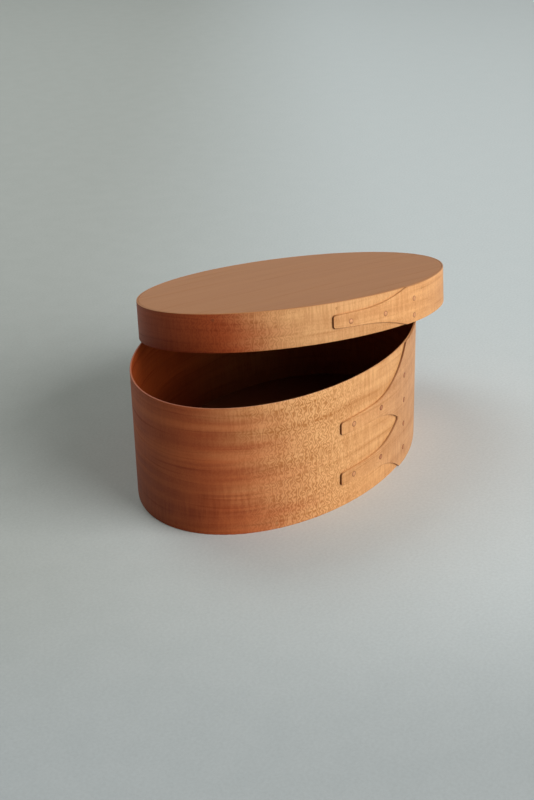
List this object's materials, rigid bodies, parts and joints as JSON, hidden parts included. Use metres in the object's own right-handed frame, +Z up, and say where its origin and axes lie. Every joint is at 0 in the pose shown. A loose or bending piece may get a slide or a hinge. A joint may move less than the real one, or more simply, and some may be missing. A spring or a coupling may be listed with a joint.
{
  "type": "bentwood oval box",
  "caption": "Bentwood oval box: a lapped band with swallowtail fingers round a bottom board, and a shallow banded lid lying askew on its rim, both tacked in copper.",
  "frame": {"origin": "middle of the body's oval, on the underside that it stands on", "axes": "+Z up, X along the body's oval, and the lapped front with its fingers faces -Y, finger tips towards -X"},
  "size_m": [0.2233, 0.1403, 0.0912],
  "materials": {
    "cherry_band": "satin oiled cherry veneer, bent, grain running round the band",
    "cherry_board": "satin oiled cherry board, grain running along the oval",
    "peg_wood": "whittled hardwood pegs cut flush, end grain",
    "copper": "copper tacks with low hammered domes, lightly tarnished"
  },
  "bodies": {
    "box": {"body_band": "cherry_band", "bottom_board": "cherry_board", "upper_finger_tacks": "copper", "lower_finger_tacks": "copper", "body_seam_tacks": "copper", "bottom_pegs": "peg_wood"},
    "lid": {"lid_band": "cherry_band", "lid_board": "cherry_board", "lid_finger_tacks": "copper", "lid_seam_tacks": "copper", "lid_pegs": "peg_wood"}
  },
  "joints": [
    {"name": "lid_lift", "type": "slide", "parent": "box", "child": "lid", "axis": [0, 0, 1], "range_m": [0, 0.1]}
  ]
}
